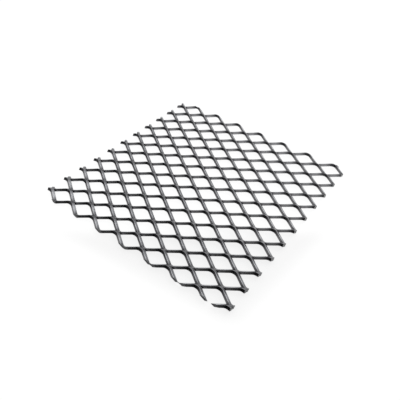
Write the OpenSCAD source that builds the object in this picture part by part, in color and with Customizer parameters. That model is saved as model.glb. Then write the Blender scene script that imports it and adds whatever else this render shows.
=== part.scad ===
// Raised expanded metal sheet, slit and stretched from one steel plate. Lies flat on its lower bond edges.
// X runs along the long way of the diamonds, Y along the short way, Z is up from the floor.

/* [Sheet] */
// cut length along the long way of the diamonds
sheet_length = 300; // [150:1:380]
// cut width along the short way of the diamonds
sheet_width = 300; // [150:1:380]

/* [Diamonds] */
// long way, bond centre to bond centre along X
long_way = 42; // [34:0.5:60]
// short way, bond centre to bond centre along Y
short_way = 27.6; // [22:0.1:36]
// how far along X the middle diamond stands off the sheet's centre, as the sheet was cut from a larger one
mesh_offset = 3; // [0:0.1:15]
// how far towards -Y the middle diamond stands off the sheet's centre
mesh_drop = 1; // [0:0.1:10]
// degrees that the sheet was sheared askew to its diamonds, so that the cut ends change along each edge
mesh_skew = 1.2; // [0:0.1:4]

/* [Strands] */
// thickness of the plate before it was stretched
plate_thickness = 4.2; // [1.5:0.1:5]
// width of one strand between two slits
strand_width = 5; // [3:0.1:6]
// lean of the strands, how far the short way turned the plate up
strand_tilt = 38; // [20:1:50]
// straight length of a bond, where two strands stay joined
bond_length = 1.4; // [1:0.1:6]
// length along X of the tight bend on the far side of a bond
bend_length = 1.4; // [1:0.1:4]
// length along X of the wide bend on the near side of a bond
crown_length = 4.4; // [1:0.1:6]

/* [Hidden] */
steel = [0.36, 0.37, 0.38];

half_long = long_way / 2;
// step from one bond row to the next, along the plate's own width and along its own thickness
row_run = thousandth(short_way / 2 * cos(strand_tilt));
row_rise = thousandth(short_way / 2 * sin(strand_tilt));
// the lean that these steps make, so that every bond row stands at one level
lean = atan2(row_rise, row_run);
// the metal stands this far above and below its mid plane once it is stretched
half_height = strand_width * sin(lean) + plate_thickness / 2 * cos(lean);
// swing per millimetre of a strand between its two bends
slope = 2 / (half_long - bond_length - (bend_length + crown_length) / 2);
columns = ceil(sheet_length / long_way) + 3;
rows = ceil(sheet_width / short_way) + 3;

function thousandth(v) = round(v * 1000) / 1000;

// the middle diamond is in column 0 and row 0, so bonds stand where column + row is odd
function place_of(column, row) =
    let (x = column * half_long + mesh_offset)
    let (y = row * short_way / 2 - mesh_drop)
    [x * cos(mesh_skew) + y * sin(mesh_skew), y * cos(mesh_skew) - x * sin(mesh_skew)];

// a bond holds its strands on the sheet if the shear leaves it half its length, or some of its leaning depth
function is_inside(column, row) =
    abs(place_of(column, row)[0]) < sheet_length / 2 &&
    abs(place_of(column, row)[1]) < sheet_width / 2 + plate_thickness / 2 * sin(lean);

// the bond that strand row `row` meets in this column is on its near or its far side in turn
function side_of(column, row) = (column + row) % 2 == 0 ? 1 : 0;

function reaches(column, row) =
    is_inside(column, row + side_of(column, row)) ||
    is_inside(column + 1, row + side_of(column + 1, row));

function columns_of(row) = [for (c = [-columns : columns]) if (reaches(c, row)) c];

// corners of one row's wave over its columns: [x, swing], swing from -1 at near bonds to 1 at far bonds
function wave(row, first, last) =
    [for (c = [first : last])
        let (s = side_of(c, row) * 2 - 1)
        let (bend = s > 0 ? crown_length : bend_length)
        each [
            if (c > first) [c * half_long - bond_length / 2 - bend, s * (1 - slope * bend / 2)],
            [c * half_long - bond_length / 2, s],
            [c * half_long + bond_length / 2, s],
            if (c < last) [c * half_long + bond_length / 2 + bend, s * (1 - slope * bend / 2)],
        ]];

// band of constant depth that follows a wave of the given reach about a middle line
module band(path, middle, reach, depth) {
    low = [for (p = path) [thousandth(p[0]), thousandth(middle + p[1] * reach - depth / 2)]];
    high = [for (p = path) [thousandth(p[0]), thousandth(middle + p[1] * reach + depth / 2)]];
    polygon(concat(low, [for (i = [len(high) - 1 : -1 : 0]) high[i]]));
}

// one strand row in the plate's own frame: its outline seen square to the plate, and seen along the plate
module strand_row(row, first, last) {
    path = wave(row, first, last);
    middle_run = (row + 0.5) * row_run;
    middle_rise = (row + 0.5) * row_rise;
    intersection() {
        translate([0, 0, thousandth(middle_rise - row_rise / 2 - plate_thickness)])
            linear_extrude(thousandth(row_rise + 2 * plate_thickness))
                band(path, middle_run, (row_run - strand_width) / 2, strand_width);
        translate([0, thousandth(middle_run + row_run / 2 + strand_width), 0])
            rotate([90, 0, 0])
                linear_extrude(thousandth(row_run + 2 * strand_width))
                    band(path, middle_rise, row_rise / 2, plate_thickness);
    }
}

module expanded_metal_sheet() {
    intersection() {
        rotate([0, 0, -mesh_skew])
            translate([mesh_offset, -mesh_drop, half_height])
                rotate([-lean, 0, 0])
                    for (row = [-rows : rows]) {
                        reached = columns_of(row);
                        if (len(reached) > 0)
                            strand_row(row, reached[0], reached[len(reached) - 1] + 1);
                    }
        translate([-sheet_length / 2, -sheet_width / 2, -half_height])
            cube([sheet_length, sheet_width, 4 * half_height]);
    }
}

color(steel) expanded_metal_sheet();
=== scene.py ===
# %% [markdown]
# # A raised expanded metal sheet
#
# The real object is one steel plate. A toothed knife slits it in short staggered cuts and pulls each row down
# as it goes, so the slits open into diamonds and no metal is lost. What is left between two slits is a strand,
# and where two strands stay joined is a bond. The strands lean, because the pull turns them.
#
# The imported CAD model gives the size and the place. This script puts a finer surface in its place, with round
# bends, rolled-over slit edges and a worked-out steel finish, and then sets the light and the camera.

import math

import bmesh
import bpy
import numpy as np
from mathutils import Euler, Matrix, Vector


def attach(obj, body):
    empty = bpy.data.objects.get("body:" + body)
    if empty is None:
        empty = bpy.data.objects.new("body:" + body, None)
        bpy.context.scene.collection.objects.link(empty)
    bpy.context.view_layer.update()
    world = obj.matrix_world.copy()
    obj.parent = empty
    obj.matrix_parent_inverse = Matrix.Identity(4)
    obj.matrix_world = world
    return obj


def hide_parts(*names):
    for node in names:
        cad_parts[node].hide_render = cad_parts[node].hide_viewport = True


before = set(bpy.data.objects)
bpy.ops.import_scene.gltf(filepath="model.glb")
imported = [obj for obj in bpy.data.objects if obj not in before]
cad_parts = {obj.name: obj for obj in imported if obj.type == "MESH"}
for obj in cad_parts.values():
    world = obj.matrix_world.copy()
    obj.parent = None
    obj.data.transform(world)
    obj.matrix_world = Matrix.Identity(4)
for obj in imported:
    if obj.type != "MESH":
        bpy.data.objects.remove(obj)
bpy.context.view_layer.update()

# One millimetre in Blender's metres
MM = 0.001

# %% [markdown]
# ## Sizes
#
# These are the sheet's own sizes in millimetres, the same as in the part's source. The plate's frame leans by
# `LEAN` about X: in it, `run` is measured along the width of the plate and `rise` along its thickness. One bond
# row is `ROW_RUN` along and `ROW_RISE` up from the next, which is what leaves every bond at one level.
#
# The sheet was sheared from a larger one. Its middle diamond stands a little off the centre, and the shear ran
# askew to the diamonds by `MESH_SKEW`, so the cut ends change along each edge.

# %% Sizes of the sheet
SHEET_LENGTH, SHEET_WIDTH = 300.0, 300.0
LONG_WAY, SHORT_WAY = 42.0, 27.6
MESH_OFFSET, MESH_DROP = 3.0, 1.0
MESH_SKEW = math.radians(1.2)
PLATE, STRAND = 4.2, 5.0
BOND, BEND, CROWN = 1.4, 1.4, 4.4
TILT = math.radians(38.0)

HALF_LONG = LONG_WAY / 2
ROW_RUN = round(SHORT_WAY / 2 * math.cos(TILT), 3)
ROW_RISE = round(SHORT_WAY / 2 * math.sin(TILT), 3)
LEAN = math.atan2(ROW_RISE, ROW_RUN)
HALF_HEIGHT = STRAND * math.sin(LEAN) + PLATE / 2 * math.cos(LEAN)
print("height over the bonds in mm:", round(2 * HALF_HEIGHT, 3))

# %% [markdown]
# ## The path of a strand
#
# From one bond to the next a strand runs level along the bond, bends away, runs straight, bends back and is
# level again. The tooth of the knife pulls the crown of each diamond round itself, so the bend there is wide,
# and the bend at the strand's other end is tight. A bend could be an arc, but its slope has to meet both
# neighbours, and a parabola does that with no trigonometry: its slope grows evenly from nothing to the slope of
# the straight.

# %% Swing of a strand between two bonds
BEND_STEPS, STRAIGHT_STEPS = 5, 3
SLOPE = 2 / (HALF_LONG - BOND - (BEND + CROWN) / 2)


def leaving(t, length):
    """How far a strand has swung t mm after the end of a bond: slope * t^2 / (2 * length), then straight."""
    t = np.clip(t, 0, None)
    return np.where(t < length, SLOPE * t**2 / (2 * length), SLOPE * (t - length / 2))


def swing(u):
    """Swing from -1 at a near bond to 1 at the next far bond, u mm along X from the near bond's centre."""
    up = leaving(u - BOND / 2, BEND) - 1
    down = 1 - leaving(HALF_LONG - BOND / 2 - u, CROWN)
    return np.where(u < HALF_LONG / 2, up, down)


def stations(first, last):
    """Places along X from one bond's centre to the next where a section is set, closer over the two bends."""
    start = BOND / 2 + np.linspace(0, first, BEND_STEPS + 1)
    end = HALF_LONG - BOND / 2 - np.linspace(last, 0, BEND_STEPS + 1)
    straight = np.linspace(start[-1], end[0], STRAIGHT_STEPS + 1)
    return np.concatenate([[-BOND / 2], start, straight[1:-1], end[:-1]])


rising, falling = stations(BEND, CROWN), stations(CROWN, BEND)
print("stations from bond to bond:", len(rising))

# %% [markdown]
# ## The section of a strand
#
# A strand is a rectangle with four different corners. The knife comes from the upper face, so the slit's upper
# edges are drawn down in a soft roll-over, and its lower edges break away sharp. Below the polished band the
# slit face tapers a little, where the metal tore. All of that fades out at the bonds, because the plate was
# never cut there: `open_far` and `open_near` are 0 along a bond and 1 on the free strand.

# %% Section of a strand
ROLL_OVER, BREAK_EDGE = 0.42, 0.14
POLISHED, TEAR_TAPER = 0.45, 0.12
CORNER = 1 - math.cos(math.radians(45))


def section(open_far, open_near):
    """Outline of the strand as [run, rise] offsets: a rectangle whose corners are rounded by three points each.

    Goes round from the lower far corner. Each radius and the taper are multiplied by how open the slit is
    on that side. Adding 0 times a radius gives a plain number that radius's shape.
    """
    a, b = STRAND / 2, PLATE / 2
    middle = b - POLISHED * PLATE
    points = []
    for side, opened in ((1, open_far), (-1, open_near)):
        roll, broken = ROLL_OVER * opened, BREAK_EDGE * opened
        torn = a - TEAR_TAPER * opened
        half = [
            (torn - broken, -b + 0 * broken),
            (torn - CORNER * broken, -b + CORNER * broken),
            (torn, -b + broken),
            (a + 0 * roll, middle + 0 * roll),
            (a + 0 * roll, b - roll),
            (a - CORNER * roll, b - CORNER * roll),
            (a - roll, b + 0 * roll),
        ]
        points += [np.stack([side * p, q], -1) for p, q in half[::side]]
    return np.stack(points, -2)


print("section points:", section(np.ones(1), np.ones(1)).shape[-2])

# %% [markdown]
# ## All the strands at once
#
# Every strand row has the same path, turned over in every other row, so the rows, the stations and the section
# points are three axes of one array and no loop visits a vertex. Along a bond the two facing sides are left
# out, and merging the doubles then joins the rows into one closed skin.

# %% Strand rows as one array
# Enough rows and columns to reach past every edge of the sheet
ROWS = np.arange(-12, 12)
COLUMNS = np.arange(-8, 8)
# The slit is fully open once a strand has swung this far from its bond
OPENING_SWING = 0.12

goes_up = ((COLUMNS[None, :] + ROWS[:, None]) % 2 == 1)[..., None]
along = np.where(goes_up, rising, falling)
x = (COLUMNS[None, :, None] * HALF_LONG + along).reshape(len(ROWS), -1)
g = swing(np.where(goes_up, along, HALF_LONG - along)).reshape(len(ROWS), -1)
middle = ROWS[:, None] + 0.5
run = middle * ROW_RUN + g * (ROW_RUN - STRAND) / 2
rise = middle * ROW_RISE + g * ROW_RISE / 2
outline = section(np.clip((1 - g) / OPENING_SWING, 0, 1), np.clip((1 + g) / OPENING_SWING, 0, 1))
run = run[..., None] + outline[..., 0]
rise = rise[..., None] + outline[..., 1]
along_mesh = x[..., None] + MESH_OFFSET
across_mesh = run * math.cos(LEAN) + rise * math.sin(LEAN) - MESH_DROP
skin = np.stack(
    [
        along_mesh * math.cos(MESH_SKEW) + across_mesh * math.sin(MESH_SKEW),
        across_mesh * math.cos(MESH_SKEW) - along_mesh * math.sin(MESH_SKEW),
        rise * math.cos(LEAN) - run * math.sin(LEAN) + HALF_HEIGHT,
    ],
    -1,
)
print("rows, stations, section points:", skin.shape[:3])

# %% Faces between neighbouring stations
# Numbers of the section's points where the two slit faces of each side start
FAR_SIDE, NEAR_SIDE = (2, 3), (9, 10)
SAME_SWING = 1e-9

n_rows, n_along, n_round = skin.shape[:3]
row, at, part = np.meshgrid(np.arange(n_rows), np.arange(n_along - 1), np.arange(n_round), indexing="ij")


def corner(step, turn):
    """Number of the vertex `step` stations on and `turn` section points round."""
    return (row * n_along + at + step) * n_round + (part + turn) % n_round


quads = np.stack([corner(0, 0), corner(0, 1), corner(1, 1), corner(1, 0)], -1)
level = (np.abs(g[:, :-1] - g[:, 1:]) < SAME_SWING)[..., None]
joined_far = level & (g[:, :-1] > 0)[..., None] & np.isin(part, FAR_SIDE) & (row < n_rows - 1)
joined_near = level & (g[:, :-1] < 0)[..., None] & np.isin(part, NEAR_SIDE) & (row > 0)
kept = ~(joined_far | joined_near)
print("faces before the sheet is cut:", int(kept.sum()))

# %% [markdown]
# ## Marks for the finish
#
# The finish has to know where on the strand it is, and a picture mapped on would smear at the bends. So each
# face and vertex carries its own mark: `slit` is 1 on the faces that the knife made, the bond mark is 1 at a
# bond and fades out along the strand, further along the wide bend than along the tight one, and says where a
# painted shade darkens the steel, and `cut_end` is for the ends that the shear leaves.

# %% Mesh with its marks
CROWN_FADE, BEND_FADE = (0.3, 0.9), (0.75, 0.95)

slit_face = np.isin(part, FAR_SIDE + NEAR_SIDE)[kept].astype(np.float32)
# Painted shade: this mark is 1 at a bond and fades out along the strand, and the finish darkens the steel by it
painted_bond_shade = np.where(g > 0, np.interp(g, CROWN_FADE, (0, 1)), np.interp(-g, BEND_FADE, (0, 1)))
painted_bond_shade = np.repeat(painted_bond_shade.astype(np.float32), n_round)

raw = bpy.data.meshes.new("raw_strands")
raw.from_pydata(skin.reshape(-1, 3) * MM, [], quads[kept])
raw.attributes.new("slit", "FLOAT", "FACE").data.foreach_set("value", slit_face)
raw.attributes.new("painted_bond_shade", "FLOAT", "POINT").data.foreach_set("value", painted_bond_shade)
raw.attributes.new("cut_end", "FLOAT", "FACE")
print("slit faces:", int(slit_face.sum()))

# %% [markdown]
# ## Cutting the sheet to size
#
# The works shears the stretched plate through strands and bonds as they come. The mesh is cut the same way, by
# a plane along each edge, and every cut strand end is closed with a flat face. A boolean with a box would do it
# too, but it is slower, and it would not say which faces are the new ends.

# %% Cut along the four edges
MERGE_DISTANCE, CUT_TOLERANCE = 2e-6, 1e-6

bm = bmesh.new()
bm.from_mesh(raw)
bmesh.ops.remove_doubles(bm, verts=bm.verts, dist=MERGE_DISTANCE)
cut_layer = bm.faces.layers.float["cut_end"]
for edge_at, outward in (
    (SHEET_LENGTH / 2, (1, 0, 0)),
    (SHEET_LENGTH / 2, (-1, 0, 0)),
    (SHEET_WIDTH / 2, (0, 1, 0)),
    (SHEET_WIDTH / 2, (0, -1, 0)),
):
    cut = bmesh.ops.bisect_plane(
        bm,
        geom=bm.verts[:] + bm.edges[:] + bm.faces[:],
        dist=CUT_TOLERANCE,
        plane_co=Vector(outward) * edge_at * MM,
        plane_no=outward,
        clear_outer=True,
    )
    rim = [e for e in cut["geom_cut"] if isinstance(e, bmesh.types.BMEdge) and e.is_boundary]
    for face in bmesh.ops.edgeloop_fill(bm, edges=rim)["faces"]:
        face[cut_layer] = 1.0
loose = [v for v in bm.verts if not v.link_faces]
bmesh.ops.delete(bm, geom=loose, context="VERTS")
bmesh.ops.recalc_face_normals(bm, faces=bm.faces)
print("open edges:", sum(not e.is_manifold for e in bm.edges))

# %% The sheet as one object
SHARP_ANGLE = math.radians(18)

mesh = bpy.data.meshes.new("expanded_steel_mesh")
bm.to_mesh(mesh)
bm.free()
bpy.data.meshes.remove(raw)
mesh.polygons.foreach_set("use_smooth", np.ones(len(mesh.polygons), dtype=bool))
mesh.set_sharp_from_angle(angle=SHARP_ANGLE)
sheet = bpy.data.objects.new("expanded_steel_mesh", mesh)
bpy.context.scene.collection.objects.link(sheet)
print("faces:", len(mesh.polygons))

# %% [markdown]
# ## Raw mild steel
#
# Plate that is slit and not coated keeps the grey scale of the rolling mill on its two faces, a little patchy.
# The slit faces are bare metal that the knife rubbed smooth and tore, so they are darker and glossier, with
# fine lines through the thickness. Round the bonds a painted shade darkens both, the slit faces most. The
# sheared ends are dull and dark. All of it is metal, so its look is mostly the room that it mirrors: the nodes
# give the tint, the painted shade at the bonds, the roughness and the fine relief.

# %% Helpers for colours and nodes
def linear(hex_colour):
    """Linear RGBA of an sRGB hex colour, by the sRGB curve."""
    srgb = [int(hex_colour[i : i + 2], 16) / 255 for i in (1, 3, 5)]
    return [c / 12.92 if c <= 0.04045 else ((c + 0.055) / 1.055) ** 2.4 for c in srgb] + [1.0]


def add(tree, kind, links=None, **settings):
    """A new node of that kind, with its settings, its input values and its links."""
    node = tree.nodes.new(kind)
    for name, value in settings.items():
        setattr(node, name, value)
    for socket, value in (links or {}).items():
        if isinstance(value, bpy.types.NodeSocket):
            tree.links.new(value, node.inputs[socket])
        else:
            node.inputs[socket].default_value = value
    return node


print("mid grey is linear", round(linear("#808080")[0], 3))

# %% Patterns in the steel
# Real scale has a grain of about 0.1 mm, and tear lines are finer still: both are drawn coarser, to show.
PATCH_MM, GRAIN_MM, TEAR_LINE_MM = 22.0, 1.4, 0.6
TEAR_STRETCH = 0.08

steel = bpy.data.materials.new("raw_mild_steel")
steel.use_nodes = True
tree = steel.node_tree
place = add(tree, "ShaderNodeTexCoord").outputs["Object"]
patches = add(
    tree,
    "ShaderNodeTexNoise",
    {"Vector": place, "Scale": 1 / (PATCH_MM * MM), "Detail": 4.0},
).outputs["Fac"]
grain = add(
    tree,
    "ShaderNodeTexNoise",
    {"Vector": place, "Scale": 1 / (GRAIN_MM * MM), "Detail": 3.0},
).outputs["Fac"]
drawn_out = add(
    tree,
    "ShaderNodeMapping",
    {"Vector": place, "Scale": (1.0, TEAR_STRETCH, TEAR_STRETCH)},
).outputs["Vector"]
tear_lines = add(
    tree,
    "ShaderNodeTexNoise",
    {"Vector": drawn_out, "Scale": 1 / (TEAR_LINE_MM * MM), "Detail": 2.0},
).outputs["Fac"]
print("pattern sizes in mm:", PATCH_MM, GRAIN_MM, TEAR_LINE_MM)

# %% Colours of the steel
slit = add(tree, "ShaderNodeAttribute", attribute_name="slit").outputs["Fac"]
bond_shade_mask = add(tree, "ShaderNodeAttribute", attribute_name="painted_bond_shade").outputs["Fac"]
cut_end = add(tree, "ShaderNodeAttribute", attribute_name="cut_end").outputs["Fac"]

mill_scale = add(
    tree,
    "ShaderNodeMix",
    {"Factor": patches, "A": linear("#96979A"), "B": linear("#B4B5B8")},
    data_type="RGBA",
).outputs["Result"]
torn_steel = add(
    tree,
    "ShaderNodeMix",
    {"Factor": tear_lines, "A": linear("#5C5C5D"), "B": linear("#7A7A7C")},
    data_type="RGBA",
).outputs["Result"]
strand_colour = add(
    tree,
    "ShaderNodeMix",
    {"Factor": slit, "A": mill_scale, "B": torn_steel},
    data_type="RGBA",
).outputs["Result"]
# Painted shade round the bonds: the dark colours that the bond mark mixes in, darker on the slit faces
painted_bond_shade_colour = add(
    tree,
    "ShaderNodeMix",
    {"Factor": slit, "A": linear("#6A6A6D"), "B": linear("#343436")},
    data_type="RGBA",
).outputs["Result"]
strand_colour_with_painted_shade = add(
    tree,
    "ShaderNodeMix",
    {"Factor": bond_shade_mask, "A": strand_colour, "B": painted_bond_shade_colour},
    data_type="RGBA",
).outputs["Result"]
steel_colour = add(
    tree,
    "ShaderNodeMix",
    {"Factor": cut_end, "A": strand_colour_with_painted_shade, "B": linear("#2C2C2E")},
    data_type="RGBA",
).outputs["Result"]
print("marks read: slit, painted_bond_shade, cut_end")

# %% Roughness and relief of the steel
SCALE_ROUGHNESS, SLIT_ROUGHNESS = (0.24, 0.40), (0.18, 0.30)
RELIEF_STRENGTH, RELIEF_DEPTH = 0.25, 0.00012

scale_roughness = add(
    tree,
    "ShaderNodeMapRange",
    {"Value": grain, "To Min": SCALE_ROUGHNESS[0], "To Max": SCALE_ROUGHNESS[1]},
).outputs["Result"]
slit_roughness = add(
    tree,
    "ShaderNodeMapRange",
    {"Value": tear_lines, "To Min": SLIT_ROUGHNESS[0], "To Max": SLIT_ROUGHNESS[1]},
).outputs["Result"]
roughness = add(
    tree,
    "ShaderNodeMix",
    {"Factor": slit, "A": scale_roughness, "B": slit_roughness},
).outputs["Result"]
texture = add(
    tree,
    "ShaderNodeMix",
    {"Factor": slit, "A": grain, "B": tear_lines},
).outputs["Result"]
relief = add(
    tree,
    "ShaderNodeBump",
    {"Height": texture, "Strength": RELIEF_STRENGTH, "Distance": RELIEF_DEPTH},
).outputs["Normal"]

shader = tree.nodes["Principled BSDF"]
shader.inputs["Metallic"].default_value = 1.0
tree.links.new(steel_colour, shader.inputs["Base Color"])
tree.links.new(roughness, shader.inputs["Roughness"])
tree.links.new(relief, shader.inputs["Normal"])
mesh.materials.append(steel)
print("nodes in", steel.name, len(tree.nodes))

# %% The sheet takes the CAD node's place
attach(sheet, "root")
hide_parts("expanded_metal_sheet")
print("sheet rides on root and stands for the CAD node")

# %% [markdown]
# ## Floor
#
# The sheet lies on a white table. Lamps strong enough to make it white would wash out the steel, so most of the
# white is the table's own: it glows for the camera and in mirrors, and the lamps add the rest, which is the
# part that the sheet's shadow takes away. Far from the sheet, where the lamps fade, the glow makes up for them.
#
# The photograph has a faint wide shade under the sheet's front corner. It is painted into the table: the glow
# dips there inside three soft edges, one beyond each side of the corner, and one that fades the painted shade
# out towards the back.
#
# Cycles would also send sample rays to a glowing floor, and those don't count as mirror rays, so part of the
# reflection would be lost. `emission_sampling` turns that off.

# %% Floor
FLOOR_HALF = 4.0

floor_mesh = bpy.data.meshes.new("floor")
floor_corners = np.array([[-1, -1, 0], [1, -1, 0], [1, 1, 0], [-1, 1, 0]]) * FLOOR_HALF
floor_mesh.from_pydata(floor_corners, [], [[0, 1, 2, 3]])
floor = bpy.data.objects.new("floor", floor_mesh)
bpy.context.scene.collection.objects.link(floor)
print("floor is", 2 * FLOOR_HALF, "m wide")

# %% White table top
NEAR_GLOW, FAR_GLOW = 0.92, 1.0
NEAR_REACH, FAR_REACH = 0.4, 2.0
# How much the table's glow is lowered in the painted shade under the sheet's front corner
PAINTED_SHADE_DEPTH = 0.10
# Each edge of the painted shade: which way it faces, and how far out that way the painted shade ends and is
# full, in metres
PAINTED_SHADE_EDGES = (
    ((0.995, -0.1, 0.0), 0.195, 0.16),
    ((0.1, -0.995, 0.0), 0.188, 0.155),
    ((0.616, -0.788, 0.0), 0.073, 0.11),
)

table = bpy.data.materials.new("white_table_top")
table.use_nodes = True
tree = table.node_tree
tree.nodes.clear()
on_floor = add(tree, "ShaderNodeTexCoord").outputs["Object"]
away = add(tree, "ShaderNodeVectorMath", {0: on_floor}, operation="LENGTH").outputs["Value"]
white = add(
    tree,
    "ShaderNodeMapRange",
    {"Value": away, "From Min": NEAR_REACH, "From Max": FAR_REACH, "To Min": NEAR_GLOW, "To Max": FAR_GLOW},
).outputs["Result"]
# The painted shade: the table's glow is lowered inside three soft edges, with no lamp casting it
painted_shade = PAINTED_SHADE_DEPTH
for way, outside, inside in PAINTED_SHADE_EDGES:
    across = add(tree, "ShaderNodeVectorMath", {0: on_floor, 1: way}, operation="DOT_PRODUCT").outputs["Value"]
    painted_shade = add(
        tree,
        "ShaderNodeMapRange",
        {"Value": across, "From Min": outside, "From Max": inside, "To Min": 0.0, "To Max": painted_shade},
        interpolation_type="SMOOTHSTEP",
    ).outputs["Result"]
glow = add(tree, "ShaderNodeMath", {0: white, 1: painted_shade}, operation="SUBTRACT").outputs["Value"]
print("glow of the table:", NEAR_GLOW, "near,", FAR_GLOW, "far")

# %% The table glows for the camera and in mirrors
WHITE = (1, 1, 1, 1)

ray = add(tree, "ShaderNodeLightPath")
seen = ray.outputs["Is Camera Ray"]
for kind in ("Is Glossy Ray", "Is Transmission Ray"):
    seen = add(tree, "ShaderNodeMath", {0: seen, 1: ray.outputs[kind]}, operation="MAXIMUM").outputs["Value"]
strength = add(tree, "ShaderNodeMath", {0: seen, 1: glow}, operation="MULTIPLY").outputs["Value"]
own_white = add(tree, "ShaderNodeEmission", {"Color": WHITE, "Strength": strength})
matt = add(tree, "ShaderNodeBsdfDiffuse", {"Color": linear("#808080")})
both = add(tree, "ShaderNodeAddShader", {0: own_white.outputs[0], 1: matt.outputs[0]})
add(tree, "ShaderNodeOutputMaterial", {"Surface": both.outputs[0]})
table.cycles.emission_sampling = "NONE"
floor_mesh.materials.append(table)
print("nodes in", table.name, len(tree.nodes))

# %% [markdown]
# ## Light
#
# Two large soft lamps, behind and overhead, light the table and the faces that look up. They are wide and not
# bright, so that no face turns white from any side.
#
# The rest of the steel's look is what it mirrors. In the photograph the slit faces towards the camera are
# almost black, the slit faces towards the left are mid grey, and both get lighter to the back and to the right.
# So in mirrors the world is a dark room with two soft panels. A pale wall at the back left is dim where it
# meets the table. A white ceiling leans to the right, and is brightest over the camera. For the camera itself
# the world is plain white.

# %% Lamps
def softbox(name, place_at, size, watts):
    """A square area lamp of that size in metres at one point, turned to face the sheet's centre."""
    lamp = bpy.data.lights.new(name, "AREA")
    lamp.shape = "SQUARE"
    lamp.size = size
    lamp.energy = watts
    holder = bpy.data.objects.new(name, lamp)
    holder.location = place_at
    holder.rotation_euler = (-Vector(place_at)).to_track_quat("-Z", "Y").to_euler()
    bpy.context.scene.collection.objects.link(holder)
    print(name, "is", round(Vector(place_at).length, 2), "m away")


softbox("back_softbox", place_at=(0.3, 1.8, 1.2), size=2.2, watts=14.0)
softbox("overhead_softbox", place_at=(0.0, 0.2, 1.9), size=3.6, watts=30.0)

# %% The room that the steel mirrors
# Each panel faces one way, and its soft edge lies between two cosines from it. Its glow changes along one axis.
ROOM_GLOW = 0.04
WALL_WAY, WALL_EDGE = (-0.707, 0.707, 0.0), (-0.45, 0.15)
WALL_RISE, WALL_GLOW = (-0.05, 0.25), (0.3, 1.0)
CEILING_WAY, CEILING_EDGE = (0.3, 0.0, 0.954), (0.34, 0.66)
CEILING_SIDE, CEILING_GLOW = (-0.4, -0.8), (0.75, 1.9)

world = bpy.data.worlds.new("studio")
world.use_nodes = True
tree = world.node_tree
tree.nodes.clear()
looking = add(tree, "ShaderNodeTexCoord").outputs["Generated"]
axes = add(tree, "ShaderNodeSeparateXYZ", {"Vector": looking}).outputs
around = []
for way, edge, axis, reach, glows in (
    (WALL_WAY, WALL_EDGE, "Z", WALL_RISE, WALL_GLOW),
    (CEILING_WAY, CEILING_EDGE, "Y", CEILING_SIDE, CEILING_GLOW),
):
    bright = add(
        tree,
        "ShaderNodeMapRange",
        {
            "Value": axes[axis],
            "From Min": reach[0],
            "From Max": reach[1],
            "To Min": glows[0],
            "To Max": glows[1],
        },
        interpolation_type="SMOOTHSTEP",
    ).outputs["Result"]
    towards = add(tree, "ShaderNodeVectorMath", {0: looking, 1: way}, operation="DOT_PRODUCT").outputs["Value"]
    panel = add(
        tree,
        "ShaderNodeMapRange",
        {"Value": towards, "From Min": edge[0], "From Max": edge[1], "To Min": 0.0, "To Max": bright},
        interpolation_type="SMOOTHSTEP",
    )
    around.append(panel.outputs["Result"])
room = add(tree, "ShaderNodeMath", {0: around[0], 1: around[1]}, operation="MAXIMUM").outputs["Value"]
print("panels around the sheet:", len(around))

# %% World
ray = add(tree, "ShaderNodeLightPath")
mirrored = add(tree, "ShaderNodeMath", {0: ray.outputs["Is Glossy Ray"], 1: room}, operation="MULTIPLY")
shown = mirrored.outputs["Value"]
for bright in (ray.outputs["Is Camera Ray"], ray.outputs["Is Transmission Ray"], ROOM_GLOW):
    shown = add(tree, "ShaderNodeMath", {0: shown, 1: bright}, operation="MAXIMUM").outputs["Value"]
studio = add(tree, "ShaderNodeBackground", {"Color": WHITE, "Strength": shown})
add(tree, "ShaderNodeOutputWorld", {"Surface": studio.outputs[0]})
world.cycles.sampling_method = "NONE"
bpy.context.scene.world = world
bpy.context.scene.view_settings.view_transform = "Standard"
print("nodes in", world.name, len(tree.nodes))

# %% [markdown]
# ## Camera
#
# The camera's place was worked out from the bonds and the corners of the sheet: rows of bonds that are parallel
# on the sheet run together in the picture, and how fast they do gives the distance and the lens. The bonds
# count for most of it and the four corners for a little.

# %% Camera
LENS_MM, SENSOR_MM = 39.086, 36.0
CAMERA_AT = (0.2748, -0.3686, 0.3933)
CAMERA_TURN = (47.365, -0.626, 37.255)

lens = bpy.data.cameras.new("camera")
lens.sensor_width = SENSOR_MM
lens.lens = LENS_MM
camera = bpy.data.objects.new("camera", lens)
camera.location = CAMERA_AT
camera.rotation_euler = Euler([math.radians(v) for v in CAMERA_TURN])
bpy.context.scene.collection.objects.link(camera)
bpy.context.scene.camera = camera
print("camera is", round(camera.location.length, 3), "m from the sheet's centre")
